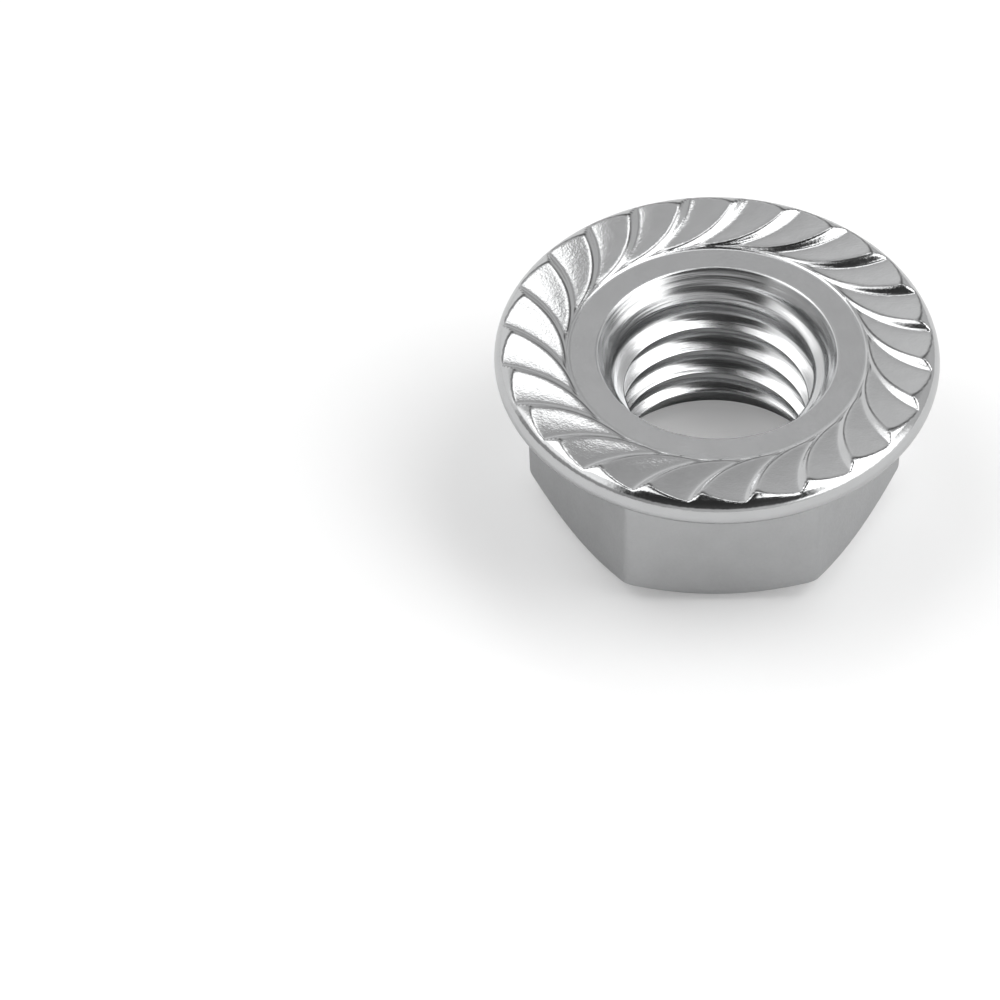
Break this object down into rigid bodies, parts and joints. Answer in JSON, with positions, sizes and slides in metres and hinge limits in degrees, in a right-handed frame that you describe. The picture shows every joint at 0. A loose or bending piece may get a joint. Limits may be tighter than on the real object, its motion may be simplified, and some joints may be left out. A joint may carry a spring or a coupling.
{
  "type": "serrated flange nut",
  "caption": "Hexagon nut with an integral round flange whose bearing face has curved ratchet serrations around a smooth ring and a threaded through hole.",
  "frame": {"origin": "centre of the hexagon's end face, on the thread axis, where the nut stands", "axes": "+Z along the thread axis, from the hexagon's end face to the toothed side of the flange; a flat of the hexagon faces -Y"},
  "size_m": [0.0174, 0.0174, 0.0078],
  "materials": {
    "steel": "bright zinc plating"
  },
  "bodies": {
    "root": {"nut": "steel"}
  },
  "joints": []
}
